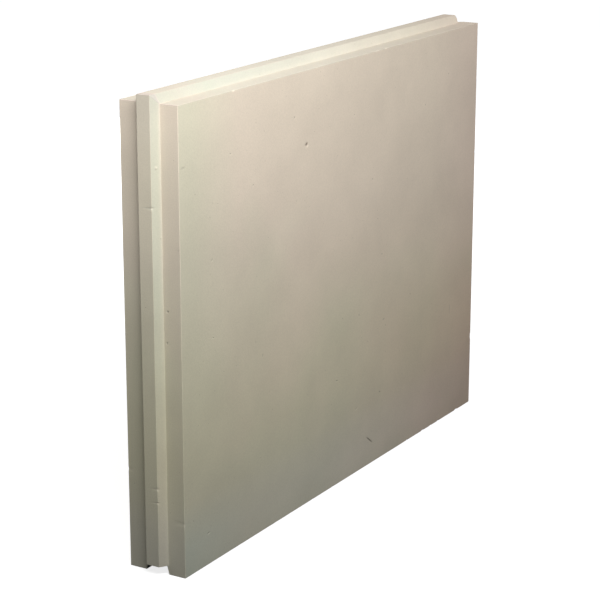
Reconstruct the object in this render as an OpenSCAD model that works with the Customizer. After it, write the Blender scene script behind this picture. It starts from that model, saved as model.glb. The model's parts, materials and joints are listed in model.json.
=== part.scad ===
// Solid gypsum partition block, cast in one piece. A tongue runs along its top edge and
// down one end, and a matching groove runs along its foot and up the other end, so that
// each block keys into the one below it and the one beside it.

/* [Block] */
// Laying length, from shoulder to shoulder, without the tongue
block_length = 666; // [400:1:800]
// Laying height, from foot to shoulder, without the tongue
block_height = 500; // [300:1:700]
// Thickness between the two wall faces
block_thick = 70; // [56:1:120]
// Radius of the arris round each wall face
arris_radius = 0.5; // [0.25:0.25:4]

/* [Tongue] */
// Height of the tongue above its shoulder
tongue_height = 9; // [7:0.5:14]
// Width of the tongue at its root, on the shoulder
tongue_root = 28; // [24:0.5:34]
// Width across the tip, measured to where the flanks would meet it sharp
tongue_tip = 16; // [10:0.5:20]
// Radius of the tongue's two tip edges
tongue_round = 1.5; // [0.5:0.25:3]

/* [Groove] */
// Room for adhesive between the tongue's tip and the groove's floor
bed_gap = 1; // [0.5:0.25:3]
// Room for adhesive beside the tongue's root, on each side
mouth_gap = 0.5; // [0.25:0.25:2]
// Room for adhesive beside the tongue's tip, on each side
floor_gap = 4; // [1:0.5:6]
// Radius of the two corners of the groove's floor
groove_round = 1.5; // [0.5:0.25:3]

/* [Hidden] */
$fn = 64;

plaster_colour = [0.90, 0.87, 0.78];

// The groove is the tongue with adhesive room all round
groove_depth = tongue_height + bed_gap;
groove_mouth = tongue_root + 2 * mouth_gap;
groove_floor = tongue_tip + 2 * floor_gap;

// The block stands centred on its overall length, tongue included
end_right = (block_length + tongue_height) / 2;
end_left = end_right - block_length;

// How far a cut runs past the face that it opens
overrun = 2;

// Rectangle with its lower left corner at the origin and four round corners
module round_rectangle(width, height, radius) {
    translate([radius, 0]) square([width - 2 * radius, height]);
    translate([0, radius]) square([width, height - 2 * radius]);
    for (x = [radius, width - radius], y = [radius, height - radius])
        translate([x, y]) circle(radius);
}

// Trapezoid standing on the X axis, base wide at its foot and top wide at the height
// rise, with its two upper corners rounded
module tapered_section(base, top, rise, radius) {
    flank_angle = atan2(rise, (base - top) / 2);
    tangent_length = radius * tan(flank_angle / 2);
    flank_x = top / 2 + tangent_length * cos(flank_angle);
    flank_y = rise - tangent_length * sin(flank_angle);
    tip_x = top / 2 - tangent_length;
    polygon([
        [-base / 2, 0], [base / 2, 0],
        [flank_x, flank_y], [tip_x, rise],
        [-tip_x, rise], [-flank_x, flank_y]
    ]);
    for (side = [-1, 1])
        translate([side * tip_x, rise - radius]) circle(radius);
}

module tongue_section() {
    tapered_section(tongue_root, tongue_tip, tongue_height, tongue_round);
}

// The base of the section is carried past the open face, at the mouth's own width
module groove_section() {
    tapered_section(groove_mouth, groove_floor, groove_depth, groove_round);
    translate([-groove_mouth / 2, -overrun]) square([groove_mouth, overrun]);
}

// A section laid along +X from the origin, its base on z = 0 and its rise upwards
module along_length(length) {
    rotate([90, 0, 90]) linear_extrude(length) children();
}

// A section stood along +Z from the origin, its base on x = 0 and its rise towards -X
module up_end(height) {
    rotate([0, 0, 90]) linear_extrude(height) children();
}

// The cast prism, with a round arris along the four edges of each wall face
module prism() {
    intersection() {
        translate([end_left, -block_thick / 2])
            linear_extrude(block_height)
                round_rectangle(block_length, block_thick, arris_radius);
        translate([end_left, 0])
            along_length(block_length)
                translate([-block_thick / 2, 0])
                    round_rectangle(block_thick, block_height, arris_radius);
    }
}

// The tongue on the end starts at the level of the foot groove's ceiling, and the tongue
// on top stops at the end groove's floor, where the next block's corner comes in
module tongues() {
    translate([end_left, 0, groove_depth])
        up_end(block_height - groove_depth) tongue_section();
    translate([end_left, 0, block_height])
        along_length(block_length - groove_depth) tongue_section();
    tongue_corner();
}

// The two tongues meet in a mitre at the upper corner
module tongue_corner() {
    intersection() {
        translate([end_left, 0, block_height])
            up_end(tongue_height) tongue_section();
        translate([end_left - tongue_height, 0, block_height])
            along_length(tongue_height) tongue_section();
    }
}

// The groove in the foot runs the whole length, and the one in the end the whole height
module grooves() {
    translate([end_left - overrun, 0, 0])
        along_length(block_length + 2 * overrun) groove_section();
    translate([end_right, 0, -overrun])
        up_end(block_height + 2 * overrun) groove_section();
}

module plaster_block() {
    color(plaster_colour)
    union() {
        difference() {
            prism();
            grooves();
        }
        tongues();
    }
}

plaster_block();
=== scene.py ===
import json
import math
import random
from collections import namedtuple

import bmesh
import bpy
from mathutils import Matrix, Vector, kdtree, noise


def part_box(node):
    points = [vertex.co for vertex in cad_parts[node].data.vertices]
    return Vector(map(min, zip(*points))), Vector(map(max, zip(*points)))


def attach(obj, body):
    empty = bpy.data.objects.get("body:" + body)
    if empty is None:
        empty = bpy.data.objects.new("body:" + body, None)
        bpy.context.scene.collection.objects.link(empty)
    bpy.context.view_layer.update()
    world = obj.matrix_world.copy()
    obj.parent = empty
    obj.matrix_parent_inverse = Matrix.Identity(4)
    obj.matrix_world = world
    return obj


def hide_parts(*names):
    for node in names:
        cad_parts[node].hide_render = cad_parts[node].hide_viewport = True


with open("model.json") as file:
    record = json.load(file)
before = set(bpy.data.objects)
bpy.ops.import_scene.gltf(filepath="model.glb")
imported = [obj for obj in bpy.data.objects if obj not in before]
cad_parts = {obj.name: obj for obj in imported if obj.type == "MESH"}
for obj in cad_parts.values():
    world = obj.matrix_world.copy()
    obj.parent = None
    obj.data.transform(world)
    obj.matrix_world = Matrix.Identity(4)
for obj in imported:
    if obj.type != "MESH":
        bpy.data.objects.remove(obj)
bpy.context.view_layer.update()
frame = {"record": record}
scene = bpy.context.scene
scene.view_settings.view_transform = "Standard"


# Block
# One casting of gypsum plaster, poured between steel plates and pushed out of the mould.
# A tongue stands along its top and its left end, and a groove runs in its foot and right end.
low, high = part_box("plaster_block")
mounts = {mount["name"]: Vector(mount["pos_m"]) for mount in frame["record"]["mounts"]}
front = low.y
back = high.y
foot = low.z
top = mounts["top_bed_front"].z
tongue_height = high.z - top
left = low.x + tongue_height
right = high.x
tongue_root = 0.028
tongue_tip = 0.016
tongue_round = 0.0015
groove_depth = 0.010
groove_mouth = 0.029
groove_floor = 0.024
groove_round = 0.0015
mouth_round = 0.0007
arris_radius = 0.0005
grid_square = 0.008
hair = 1e-5
flat_angle = math.radians(0.1)
X, Y, Z = range(3)

block = bmesh.new()


def level(value, wanted):
    """True where two measures are the same within a hair."""
    return abs(value - wanted) < hair


def on_top(point):
    return level(point.z, top)


def on_foot(point):
    return level(point.z, foot)


def on_left(point):
    return level(point.x, left)


def on_right(point):
    return level(point.x, right)


def on_a_shoulder(point):
    """On the faces that the tongue stands on."""
    return on_top(point) or on_left(point)


def faces_where(test):
    """The faces whose middle passes a test."""
    return [face for face in block.faces if test(face.calc_center_median())]


def edges_where(test):
    """The edges whose middle passes a test."""
    return [edge for edge in block.edges if test((edge.verts[0].co + edge.verts[1].co) / 2)]


def score(axis, place, faces):
    """Scores a line over the faces where a plane across that axis meets them."""
    normal = Vector((0, 0, 0))
    normal[axis] = 1
    edges = list(dict.fromkeys(edge for face in faces for edge in face.edges))
    verts = list(dict.fromkeys(vert for face in faces for vert in face.verts))
    scored = verts + edges + faces
    bmesh.ops.bisect_plane(block, geom=scored, dist=hair, plane_co=normal * place, plane_no=normal)


def pull(faces):
    """Pulls faces out as a new region and returns its vertices, still in their old place."""
    pulled = bmesh.ops.extrude_face_region(block, geom=faces)
    bmesh.ops.delete(block, geom=[face for face in faces if face.is_valid], context="FACES")
    return [item for item in pulled["geom"] if isinstance(item, bmesh.types.BMVert)]


def clean():
    """Joins what lies in one place and drops loose edges and lines that score a flat face."""
    bmesh.ops.remove_doubles(block, verts=block.verts, dist=hair)
    bmesh.ops.delete(block, geom=[edge for edge in block.edges if edge.is_wire], context="EDGES")
    bmesh.ops.dissolve_limit(block, angle_limit=flat_angle, verts=block.verts, edges=block.edges)


def bevel(edges, offset, segments):
    bmesh.ops.bevel(
        block, geom=edges, offset=offset, offset_type="OFFSET", affect="EDGES",
        segments=segments, profile=0.5, material=-1, clamp_overlap=True,
    )


# The prism between the four shoulders
bmesh.ops.create_cube(block, size=1.0)
bmesh.ops.scale(block, vec=(right - left, back - front, top - foot), verts=block.verts)
prism_middle = Vector(((left + right) / 2, (front + back) / 2, (foot + top) / 2))
bmesh.ops.translate(block, vec=prism_middle, verts=block.verts)


# The groove: the strips on the foot and the right end go in and narrow towards its floor
def in_groove_strip(point):
    return abs(point.y) < groove_mouth / 2 and (on_foot(point) or on_right(point))


def in_open_end(point):
    """Where the groove runs out through the left end and the top."""
    at_left = on_left(point) and point.z < foot + groove_depth
    at_top = on_top(point) and point.x > right - groove_depth
    return abs(point.y) < groove_mouth / 2 - hair and (at_left or at_top)


def on_groove_floor(point):
    ceiling = level(point.z, foot + groove_depth) and point.x < right - groove_depth + hair
    wall = level(point.x, right - groove_depth) and point.z > foot + groove_depth - hair
    return ceiling or wall


for side in (-1, 1):
    score(Y, side * groove_mouth / 2, block.faces[:])
score(Z, foot + groove_depth, block.faces[:])
score(X, right - groove_depth, block.faces[:])
for vert in pull(faces_where(in_groove_strip)):
    sinks = on_foot(vert.co)
    if on_right(vert.co):
        vert.co.x -= groove_depth
    if sinks:
        vert.co.z += groove_depth
bmesh.ops.delete(block, geom=faces_where(in_open_end), context="FACES")
bmesh.ops.remove_doubles(block, verts=block.verts, dist=hair)
for vert in block.verts:
    if on_groove_floor(vert.co) and level(abs(vert.co.y), groove_mouth / 2):
        vert.co.y *= groove_floor / groove_mouth
clean()


# The tongue: the strips on the top and the left end come out and narrow towards their tip
def in_tongue_strip(point):
    along_top = on_top(point) and point.x < right - groove_depth
    up_end = on_left(point) and point.z > foot + groove_depth
    return abs(point.y) < tongue_root / 2 and (along_top or up_end)


def on_tip(point):
    return point.x < left - tongue_height + hair or point.z > top + tongue_height - hair


for side in (-1, 1):
    score(Y, side * tongue_root / 2, faces_where(on_a_shoulder))
score(Z, foot + groove_depth, faces_where(on_a_shoulder))
score(X, right - groove_depth, faces_where(on_a_shoulder))
for vert in pull(faces_where(in_tongue_strip)):
    rises = on_top(vert.co)
    if on_left(vert.co):
        vert.co.x -= tongue_height
    if rises:
        vert.co.z += tongue_height
    vert.co.y *= tongue_tip / tongue_root
clean()
bmesh.ops.recalc_face_normals(block, faces=block.faces)


# The rounds: the mould's own on the tongue's tip and the groove's floor, and worn ones elsewhere
def on_an_arris(point):
    at_a_corner = (on_left(point) or on_right(point)) and (on_top(point) or on_foot(point))
    return at_a_corner or level(abs(point.y), back)


def at_floor_corner(point):
    return on_groove_floor(point) and level(abs(point.y), groove_floor / 2)


def at_groove_mouth(point):
    return (on_foot(point) or on_right(point)) and level(abs(point.y), groove_mouth / 2)


def round_start(radius, base, tip, rise):
    """How far from a tapered rib's tip corner a round of that radius starts."""
    flank_angle = math.atan2(rise, (base - tip) / 2)
    return radius * math.tan(flank_angle / 2)


bevel(edges_where(on_an_arris), arris_radius, segments=4)
tip_edges = [edge for edge in block.edges if any(on_tip(vert.co) for vert in edge.verts)]
tip_round_start = round_start(tongue_round, tongue_root, tongue_tip, tongue_height)
bevel(tip_edges, tip_round_start, segments=3)
floor_round_start = round_start(groove_round, groove_mouth, groove_floor, groove_depth)
bevel(edges_where(at_floor_corner), floor_round_start, segments=3)
bevel(edges_where(at_groove_mouth), mouth_round, segments=2)
bmesh.ops.recalc_face_normals(block, faces=block.faces)

# The grid: the faces are scored into squares, which the marks below then quarter
for axis, start, end in ((X, left, right), (Z, foot, top)):
    steps = round((end - start) / grid_square)
    for step in range(1, steps):
        score(axis, start + (end - start) * step / steps, block.faces[:])

# The dents: air holes and knocks in the faces, each pressed in along its face's normal
random.seed(41)
front_out = Vector((0, -1, 0))
back_out = Vector((0, 1, 0))
left_out = Vector((-1, 0, 0))
right_out = Vector((1, 0, 0))
top_out = Vector((0, 0, 1))
foot_out = Vector((0, 0, -1))
flank_out = Vector((-(tongue_root - tongue_tip) / 2, -tongue_height, 0)).normalized()
Dent = namedtuple("Dent", "centre out along half_length half_width depth")


def leaning(lean):
    """The way that leans so many degrees up from level, in a wall face."""
    return Vector((math.cos(math.radians(lean)), 0, math.sin(math.radians(lean))))


def front_dent(x, z, half_length, half_width, depth, lean):
    return Dent(Vector((x, front, z)), front_out, leaning(lean), half_length, half_width, depth)


def end_dent(y, z):
    place = Vector((left, y, z))
    return Dent(place, left_out, top_out, half_length=0.0016, half_width=0.0010, depth=0.0006)


# A drop of plaster stands on the end tongue's front flank, and a smear of it on the front
drop_height = 0.436
drop_place = Vector((left - tongue_height / 2, -(tongue_root + tongue_tip) / 4, drop_height))
raised_drop = Dent(drop_place, flank_out, top_out, half_length=0.0018, half_width=0.0013, depth=-0.0005)
smear = front_dent(left + 0.0075, drop_height, 0.0048, 0.0016, 0.0002, 5)
dents = [
    front_dent(-0.0815, 0.418, 0.0026, 0.0019, 0.0012, 20),
    front_dent(0.067, 0.0305, 0.0105, 0.0010, 0.0008, -37),
    front_dent(-0.284, 0.0355, 0.0030, 0.0009, 0.0006, 10),
    front_dent(-0.174, 0.203, 0.0022, 0.0009, 0.0004, 80),
    front_dent(0.099, 0.174, 0.0024, 0.0009, 0.0005, 15),
    front_dent(-0.013, 0.128, 0.0024, 0.0008, 0.0005, -10),
    front_dent(-0.271, 0.331, 0.0020, 0.0010, 0.0004, 60),
    front_dent(0.091, 0.085, 0.0026, 0.0008, 0.0005, -30),
    front_dent(0.033, 0.080, 0.0026, 0.0008, 0.0005, 25),
    front_dent(0.275, 0.143, 0.0080, 0.0009, 0.0003, 88),
    smear,
    end_dent(-0.0175, 0.2545),
    end_dent(-0.016, 0.1295),
    end_dent(-0.016, 0.0725),
    end_dent(-0.016, 0.066),
    end_dent(-0.019, 0.288),
    raised_drop,
]
pinholes = 46
pinhole_half_widths = (0.0005, 0.0011)
longest_pinhole = 1.8
clear_of_edges = 0.012
for number in range(pinholes):
    half_width = random.uniform(*pinhole_half_widths)
    x = random.uniform(left + clear_of_edges, right - clear_of_edges)
    z = random.uniform(foot + clear_of_edges, top - clear_of_edges)
    out = front_out if number % 2 else back_out
    along = leaning(random.uniform(0, 180))
    half_length = half_width * random.uniform(1, longest_pinhole)
    dents.append(Dent(Vector((x, out.y * back, z)), out, along, half_length, half_width, half_width / 2))

# The chips: crumbs lost from the arrises and the tongue, each planed off across the edge
Chip = namedtuple("Chip", "centre out along length depth")


def edge_chip(x, y, z, one, other, length, depth):
    """A chip on the edge between two faces, which look these two ways."""
    return Chip(Vector((x, y, z)), (one + other).normalized(), one.cross(other).normalized(), length, depth)


tongue_end = right - groove_depth
chips = [
    edge_chip(-0.228, front, top, front_out, top_out, 0.007, 0.0009),
    edge_chip(0.164, front, foot, front_out, foot_out, 0.007, 0.0008),
    edge_chip(0.206, front, foot, front_out, foot_out, 0.010, 0.0010),
    edge_chip(0.249, front, foot, front_out, foot_out, 0.008, 0.0008),
    edge_chip(0.300, front, foot, front_out, foot_out, 0.011, 0.0011),
    edge_chip(right, front, 0.091, front_out, right_out, 0.010, 0.0011),
    edge_chip(tongue_end, -0.013, top + 0.0015, right_out, front_out, 0.009, 0.0022),
    edge_chip(tongue_end, 0.001, top + tongue_height, right_out, top_out, 0.004, 0.0008),
]
arris_chips = 14
arris_chip_lengths = (0.003, 0.008)
arris_chip_depths = (0.0005, 0.0010)
tongue_chips = 6
tongue_chip_lengths = (0.002, 0.005)
tongue_chip_depths = (0.0006, 0.0009)
clear_of_corners = 0.02
edges_of_a_wall_face = (
    (left_out, left, None), (right_out, right, None), (top_out, None, top), (foot_out, None, foot),
)
for number in range(arris_chips):
    wall_out = random.choice((front_out, back_out))
    edge_out, x, z = random.choice(edges_of_a_wall_face)
    if x is None:
        x = random.uniform(left + clear_of_corners, right - clear_of_corners)
    else:
        z = random.uniform(foot + clear_of_corners, top - clear_of_corners)
    length = random.uniform(*arris_chip_lengths)
    depth = random.uniform(*arris_chip_depths)
    chips.append(edge_chip(x, wall_out.y * back, z, wall_out, edge_out, length, depth))
for number in range(tongue_chips):
    side_out = random.choice((front_out, back_out))
    if number % 2:
        edge_out = top_out
        x = random.uniform(left, right - clear_of_corners)
        z = top + tongue_height
    else:
        edge_out = left_out
        x = left - tongue_height
        z = random.uniform(foot + clear_of_corners, top)
    length = random.uniform(*tongue_chip_lengths)
    depth = random.uniform(*tongue_chip_depths)
    chips.append(edge_chip(x, side_out.y * tongue_tip / 2, z, side_out, edge_out, length, depth))

# Squares near a mark are quartered until they are fine enough to take its shape
Spot = namedtuple("Spot", "centre reach square")
dent_margin = 1.6
squares_in_half_width = 2.5
chip_margin = 2.2
chip_step = 0.004
chip_square = 0.0007
halvings = 5
half_diagonal = 0.75
longest_side = 1.4
spots = []
for dent in dents:
    steps = max(1, round(dent.half_length / dent.half_width))
    for step in range(steps):
        offset = dent.along * dent.half_length * ((step + 0.5) / steps * 2 - 1)
        square = dent.half_width / squares_in_half_width
        spots.append(Spot(dent.centre + offset, dent.half_width * dent_margin, square))
for chip in chips:
    steps = max(1, round(chip.length / chip_step))
    for step in range(steps):
        offset = chip.along * chip.length * ((step + 0.5) / steps - 0.5)
        spots.append(Spot(chip.centre + offset, chip.depth * chip_margin, chip_square))
nearby = kdtree.KDTree(len(spots))
for number, spot in enumerate(spots):
    nearby.insert(spot.centre, number)
nearby.balance()
widest_reach = max(spot.reach for spot in spots)
for halving in range(halvings):
    side = grid_square / 2 ** halving
    split = []
    for face in block.faces:
        for place, number, distance in nearby.find_range(face.calc_center_bounds(), widest_reach + side):
            spot = spots[number]
            if distance < spot.reach + side * half_diagonal:
                longest = spot.square * longest_side
                split.extend(edge for edge in face.edges if edge.calc_length() > longest)
                break
    bmesh.ops.subdivide_edges(block, edges=list(dict.fromkeys(split)), cuts=1, use_grid_fill=True)

# The marks go in, and two attributes remember the holes, which dust and painted shade darken, and where
# plaster is fresh
dust_and_shade_depth = 0.0009
fresh_depth = 0.0008
dent_raggedness = 0.25
dent_ragged_scale = 900
dent_reach = 1.3
rim_steepness = 3
chip_raggedness = 0.35
chip_ragged_scale = 350
hollow = block.verts.layers.float.new("hollow")
fresh = block.verts.layers.float.new("fresh")
block.verts.ensure_lookup_table()
skin = kdtree.KDTree(len(block.verts))
for vert in block.verts:
    skin.insert(vert.co, vert.index)
skin.balance()
for dent in dents:
    across = dent.out.cross(dent.along)
    for place, index, distance in skin.find_range(dent.centre, dent.half_length * dent_reach):
        vert = block.verts[index]
        offset = place - dent.centre
        spread = math.hypot(offset.dot(dent.along) / dent.half_length, offset.dot(across) / dent.half_width)
        spread *= 1 + dent_raggedness * noise.noise(place * dent_ragged_scale)
        if spread < 1 and abs(offset.dot(dent.out)) < hair:
            vert.co -= dent.out * dent.depth * (1 - spread ** 2)
            inside = min(1, rim_steepness * (1 - spread))
            vert[hollow] = max(vert[hollow], inside * min(1, dent.depth / dust_and_shade_depth))
            if dent.depth < 0:
                vert[fresh] = inside
for chip in chips:
    for place, index, distance in skin.find_range(chip.centre, chip.length / 2 + chip.depth * 2):
        vert = block.verts[index]
        offset = vert.co - chip.centre
        spread = abs(offset.dot(chip.along)) / (chip.length / 2)
        if spread < 1:
            ragged = 1 + chip_raggedness * noise.noise(place * chip_ragged_scale)
            bottom = -chip.depth * (1 - spread ** 2) * ragged
            planed_off = offset.dot(chip.out) - bottom
            if planed_off > 0:
                vert.co -= chip.out * planed_off
                vert[fresh] = min(1, vert[fresh] + planed_off / fresh_depth)
speck = 1e-6
bmesh.ops.remove_doubles(block, verts=block.verts, dist=speck)

# Faces with a corner midway along a side are cut into triangles, so that each has some area
straight = math.radians(179)
crease = math.radians(38)
split_sided = []
for face in block.faces:
    if any(loop.calc_angle() > straight for loop in face.loops):
        split_sided.append(face)
bmesh.ops.triangulate(block, faces=split_sided, quad_method="BEAUTY", ngon_method="BEAUTY")
bmesh.ops.recalc_face_normals(block, faces=block.faces)
for edge in block.edges:
    edge.smooth = edge.calc_face_angle(0) < crease
for face in block.faces:
    face.smooth = True

mesh = bpy.data.meshes.new("plaster_block_casting")
block.to_mesh(mesh)
block.free()
casting = bpy.data.objects.new("plaster_block_casting", mesh)
scene.collection.objects.link(casting)
weigh = casting.modifiers.new("flat faces stay flat", "WEIGHTED_NORMAL")
weigh.keep_sharp = True
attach(casting, "root")
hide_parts("plaster_block")

# The plaster: matt, a warm off-white all through, in clouds where it dried unevenly
plaster = bpy.data.materials.new("plaster")
plaster.use_nodes = True
mix = plaster.node_tree
shader = mix.nodes["Principled BSDF"]
shader.inputs["Roughness"].default_value = 0.9
shader.inputs["Specular IOR Level"].default_value = 0.05
green_white = (0.758, 0.723, 0.560, 1)
pink_white = (0.842, 0.733, 0.600, 1)
pinker = (1.0, 0.965, 0.985, 1)
# Painted shade: the next seven tints darken the tongue's flanks and its top corner, the top bed and the
# lower right
cool_flank_shade = (0.795, 0.855, 0.865, 1)
warm_flank_shade = (0.870, 0.855, 0.865, 1)
corner_shade = (0.900, 0.910, 0.930, 1)
end_bed_shade = (0.920, 0.885, 0.940, 1)
cool_bed_shade = (0.885, 0.935, 0.960, 1)
warm_bed_shade = (0.885, 0.900, 0.900, 1)
red_painted_shade = (0.92, 0.83, 0.79, 1)
yellow_cast = (1.0, 1.0, 0.955, 1)
grey_cast = (0.99, 1.0, 1.055, 1)
green_cast = (0.93, 1.0, 1.02, 1)
pore_brown = (0.36, 0.31, 0.24, 1)
# Dust and painted shade in the holes
dust_and_shade_brown = (0.22, 0.18, 0.14, 1)
fresh_white = (0.78, 0.71, 0.59, 1)


def node(tree, kind, **settings):
    """Adds a node and sets its settings."""
    made = tree.nodes.new(kind)
    for name, value in settings.items():
        setattr(made, name, value)
    return made


def feed(tree, socket, value):
    """Gives a socket a plain value, or a link from another node."""
    if isinstance(value, bpy.types.NodeSocket):
        tree.links.new(value, socket)
    else:
        socket.default_value = value


def reckon(tree, operation, first, second):
    """A sum on two values."""
    made = node(tree, "ShaderNodeMath", operation=operation)
    feed(tree, made.inputs[0], first)
    feed(tree, made.inputs[1], second)
    return made.outputs[0]


def spread_of(tree, value, low_in, high_in, low_out, high_out):
    """Maps a value from one range to another and holds it there."""
    made = node(tree, "ShaderNodeMapRange")
    for socket, given in zip(made.inputs, (value, low_in, high_in, low_out, high_out)):
        feed(tree, socket, given)
    return made.outputs[0]


def blend(tree, amount, first, second, mode="MIX"):
    """Mixes two colours by an amount."""
    made = node(tree, "ShaderNodeMix", data_type="RGBA", blend_type=mode)
    feed(tree, made.inputs[0], amount)
    feed(tree, made.inputs[6], first)
    feed(tree, made.inputs[7], second)
    return made.outputs[2]


on_block = node(mix, "ShaderNodeTexCoord").outputs["Object"]
axes = node(mix, "ShaderNodeSeparateXYZ")
feed(mix, axes.inputs[0], on_block)
along_block = axes.outputs["X"]
up_block = axes.outputs["Z"]


def mottle(scale, detail):
    """Soft noise over the block."""
    made = node(mix, "ShaderNodeTexNoise")
    feed(mix, made.inputs["Vector"], on_block)
    feed(mix, made.inputs["Scale"], scale)
    feed(mix, made.inputs["Detail"], detail)
    return made.outputs[0]


def rising(value, start, end):
    """From 0 to 1 as the value goes from start to end."""
    return spread_of(mix, value, start, end, 0, 1)


def falling(value, start, end):
    """From 1 to 0 as the value goes from start to end."""
    return spread_of(mix, value, start, end, 1, 0)


def tinted(amount, tint):
    """The colour so far, with so much of a tint laid over it."""
    return blend(mix, amount, colour, tint, "MULTIPLY")


# It turns from greenish white at the foot and left to pinkish white at the top and right
lengthwise = spread_of(mix, along_block, left, right, -0.14, 0.14)
upwards = spread_of(mix, up_block, foot, top, -0.15, 0.35)
patches = spread_of(mix, mottle(7, 2), 0.25, 0.75, -0.12, 0.12)
dryness = reckon(mix, "ADD", reckon(mix, "ADD", lengthwise, upwards), patches)
arris_blend = 0.0015
less_on_tongue = spread_of(mix, along_block, left - 0.0020, left - 0.0005, 0.6, 1)
on_the_end = falling(along_block, left, left + arris_blend)
off_the_end = spread_of(mix, along_block, left + 0.02, left + 0.11, 0.1, 1)
end_dryness = reckon(mix, "MAXIMUM", reckon(mix, "MINIMUM", less_on_tongue, on_the_end), off_the_end)
dried = reckon(mix, "MULTIPLY", rising(dryness, -0.16, 0.16), end_dryness)
colour = blend(mix, dried, green_white, pink_white)
colour = tinted(rising(along_block, right - 0.12, right), pinker)

# Painted shade darkens the tongue's flanks, the tongue's corner at the top of the end and the top bed,
# where the key softbox lights them most
root_line = 0.0001
flank_middle = 0.0035
root_share = 0.65
tip_blend = 0.0004
corner_height = 0.07
end_rise = reckon(mix, "SUBTRACT", left, along_block)
top_rise = reckon(mix, "SUBTRACT", up_block, top)


def flank_above(rise):
    """How much painted shade a flank takes: about two thirds at the tongue's root, which leaves a painted
    light line there, and the whole from the middle of the flank up.
    """
    root = spread_of(mix, rise, 0, root_line, 0, root_share)
    upper = spread_of(mix, rise, root_line, flank_middle, 0, 1 - root_share)
    return reckon(mix, "ADD", root, upper)


# The top flanks take the most painted shade near the left end, where the key softbox is closest
less_along_top = spread_of(mix, along_block, left + 0.05, 0.05, 1.3, 0.4)
top_flank = reckon(mix, "MULTIPLY", flank_above(top_rise), less_along_top)
either_flank = reckon(mix, "MAXIMUM", flank_above(end_rise), top_flank)
tongue_rise = reckon(mix, "MAXIMUM", end_rise, top_rise)
below_the_tip = falling(tongue_rise, tongue_height - tip_blend, tongue_height)
flank_shade = blend(mix, rising(up_block, 0.12, 0.32), warm_flank_shade, cool_flank_shade)
colour = tinted(reckon(mix, "MULTIPLY", either_flank, below_the_tip), flank_shade)
# Painted shade on the end tongue near the top, where the key softbox is closest
end_tongue = rising(end_rise, 0, 0.0005)
near_the_top = rising(up_block, top - corner_height, top)
colour = tinted(reckon(mix, "MULTIPLY", end_tongue, near_the_top), corner_shade)
# Painted shade on the top bed, which faces up into the key softbox, with its tint changing along the block
over_the_end = reckon(mix, "SUBTRACT", top_rise, reckon(mix, "MAXIMUM", end_rise, 0))
bed_shade = blend(mix, rising(along_block, 0, right), cool_bed_shade, warm_bed_shade)
bed_shade = blend(mix, falling(along_block, left + 0.04, left + 0.09), bed_shade, end_bed_shade)
colour = tinted(rising(over_the_end, -0.0012, -0.0002), bed_shade)

# Low down it is a little yellower, and towards the lower right it is darker and redder, a painted
# shade where the light falls off. Along the foot it is greyer, with some green at the left.
low_right = reckon(mix, "MULTIPLY", rising(along_block, 0, right), falling(up_block, foot, 0.25))
colour = tinted(low_right, red_painted_shade)
low_band = reckon(mix, "MINIMUM", rising(up_block, 0.06, 0.12), falling(up_block, 0.17, 0.33))
colour = tinted(low_band, yellow_cast)
at_the_foot = falling(up_block, 0.03, 0.08)
colour = tinted(at_the_foot, grey_cast)
past_the_end = rising(along_block, left, left + arris_blend)
by_the_end = reckon(mix, "MINIMUM", past_the_end, falling(along_block, left + 0.01, left + 0.12))
colour = tinted(reckon(mix, "MULTIPLY", at_the_foot, by_the_end), green_cast)

# Close up it has clouds, a fine grain and small open pores, and its holes are darkened by dust and painted
# shade
cloud = spread_of(mix, mottle(16, 4), 0.3, 0.7, 0.955, 1.03)
grain = mottle(700, 3)
speckle = spread_of(mix, grain, 0.3, 0.7, 0.965, 1.03)
colour = blend(mix, 1.0, colour, reckon(mix, "MULTIPLY", cloud, speckle), "MULTIPLY")
cells = node(mix, "ShaderNodeTexVoronoi")
feed(mix, cells.inputs["Vector"], on_block)
feed(mix, cells.inputs["Scale"], 75.0)
pore = falling(cells.outputs["Distance"], 0.03, 0.055)
colour = blend(mix, spread_of(mix, pore, 0, 1, 0, 0.35), colour, pore_brown)
dust_and_shade = node(mix, "ShaderNodeAttribute", attribute_name="hollow").outputs["Fac"]
colour = blend(mix, spread_of(mix, dust_and_shade, 0, 1, 0, 0.75), colour, dust_and_shade_brown)
broken = node(mix, "ShaderNodeAttribute", attribute_name="fresh").outputs["Fac"]
colour = blend(mix, spread_of(mix, broken, 0, 1, 0, 0.4), colour, fresh_white)
feed(mix, shader.inputs["Base Color"], colour)
rough = node(mix, "ShaderNodeBump")
feed(mix, rough.inputs["Strength"], 0.35)
feed(mix, rough.inputs["Distance"], 0.0004)
feed(mix, rough.inputs["Height"], grain)
sunken = node(mix, "ShaderNodeBump", invert=True)
feed(mix, sunken.inputs["Strength"], 0.6)
feed(mix, sunken.inputs["Distance"], 0.0006)
feed(mix, sunken.inputs["Height"], pore)
feed(mix, sunken.inputs["Normal"], rough.outputs[0])
feed(mix, shader.inputs["Normal"], sunken.outputs[0])
casting.data.materials.append(plaster)


# Camera
# Stands at the block's left front, higher than its top, and looks down on its front and its end.
# A long lens from a little over two metres away.
heading = math.radians(59.089)
downwards = math.radians(15.974)
camera_data = bpy.data.cameras.new("camera")
camera_data.sensor_width = 36.0
camera_data.lens = 119.45
camera = bpy.data.objects.new("camera", camera_data)
camera.location = (-1.913, -1.123, 0.852)
camera.rotation_euler = (math.radians(90) - downwards, 0, -heading)
scene.collection.objects.link(camera)
scene.camera = camera


# Lamps
# A softbox close by, high at the left front and turned past the block, so that light falls
# off down and along its faces. A weaker one behind keeps the back and the right end readable.
def softbox(name, place, aim, size, watts):
    lamp_data = bpy.data.lights.new(name, "AREA")
    lamp_data.size = size
    lamp_data.energy = watts
    lamp = bpy.data.objects.new(name, lamp_data)
    lamp.location = place
    lamp.rotation_euler = (Vector(aim) - Vector(place)).to_track_quat("-Z", "Y").to_euler()
    lamp.visible_camera = False
    scene.collection.objects.link(lamp)


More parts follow.
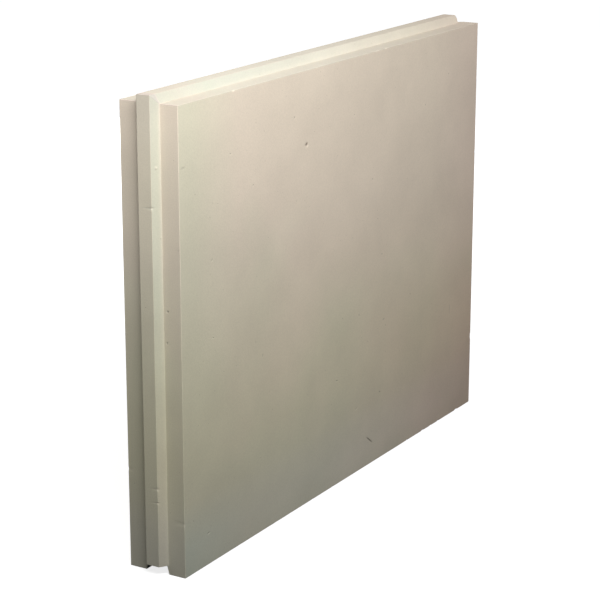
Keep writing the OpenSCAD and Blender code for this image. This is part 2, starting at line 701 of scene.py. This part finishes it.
def seen(tree):
    """1 for what the camera sees, straight or in a mirror or glass, and 0 for light itself."""
    ray = node(tree, "ShaderNodeLightPath")
    mirrored = reckon(tree, "MAXIMUM", ray.outputs["Is Glossy Ray"], ray.outputs["Is Transmission Ray"])
    return reckon(tree, "MAXIMUM", ray.outputs["Is Camera Ray"], mirrored)


softbox("key softbox", place=(-0.746, -0.663, 1.427), aim=(0.62, 0.45, 1.61), size=1.2, watts=43.5)
softbox("back softbox", place=(1.3, 1.8, 0.42), aim=(0, 0, 0.25), size=1.0, watts=36.0)
world = bpy.data.worlds.new("studio")
world.use_nodes = True
scene.world = world
sky = world.node_tree
background = sky.nodes["Background"]
background.inputs["Color"].default_value = (1, 1, 1, 1)
sky_light = 0.02
sky_as_seen = 1.0
feed(sky, background.inputs["Strength"], spread_of(sky, seen(sky), 0, 1, sky_light, sky_as_seen))


# Floor
# A wide sheet of white studio board that the block stands on. It shows as white and keeps
# the block's shadow, and throws little light back at the block.
board_half_width = 10.0
under_the_foot = 0.0002
shadow_start = 0.4
shadow_end = 1.3
glow_near = 0.80
glow_far = 1.0
floor_mesh = bpy.data.meshes.new("floor")
sheet = bmesh.new()
bmesh.ops.create_grid(sheet, x_segments=1, y_segments=1, size=board_half_width)
sheet.to_mesh(floor_mesh)
sheet.free()
floor = bpy.data.objects.new("floor", floor_mesh)
floor.location.z = foot - under_the_foot
scene.collection.objects.link(floor)
white_board = bpy.data.materials.new("white board")
white_board.use_nodes = True
board = white_board.node_tree
board.nodes.clear()
from_middle = node(board, "ShaderNodeVectorMath", operation="LENGTH")
feed(board, from_middle.inputs[0], node(board, "ShaderNodeTexCoord").outputs["Object"])
fade = node(board, "ShaderNodeMapRange", interpolation_type="SMOOTHSTEP")
fade_values = (from_middle.outputs["Value"], shadow_start, shadow_end, glow_near, glow_far)
for socket, given in zip(fade.inputs, fade_values):
    feed(board, socket, given)
glow = node(board, "ShaderNodeEmission")
feed(board, glow.inputs["Strength"], fade.outputs[0])
shaded = node(board, "ShaderNodeBsdfDiffuse")
shaded.inputs["Color"].default_value = (0.5, 0.5, 0.5, 1)
as_seen = node(board, "ShaderNodeAddShader")
feed(board, as_seen.inputs[0], glow.outputs[0])
feed(board, as_seen.inputs[1], shaded.outputs[0])
as_it_lights = node(board, "ShaderNodeBsdfDiffuse")
as_it_lights.inputs["Color"].default_value = (0.04, 0.04, 0.04, 1)
either = node(board, "ShaderNodeMixShader")
feed(board, either.inputs[0], seen(board))
feed(board, either.inputs[1], as_it_lights.outputs[0])
feed(board, either.inputs[2], as_seen.outputs[0])
surface = node(board, "ShaderNodeOutputMaterial")
feed(board, surface.inputs["Surface"], either.outputs[0])
floor_mesh.materials.append(white_board)
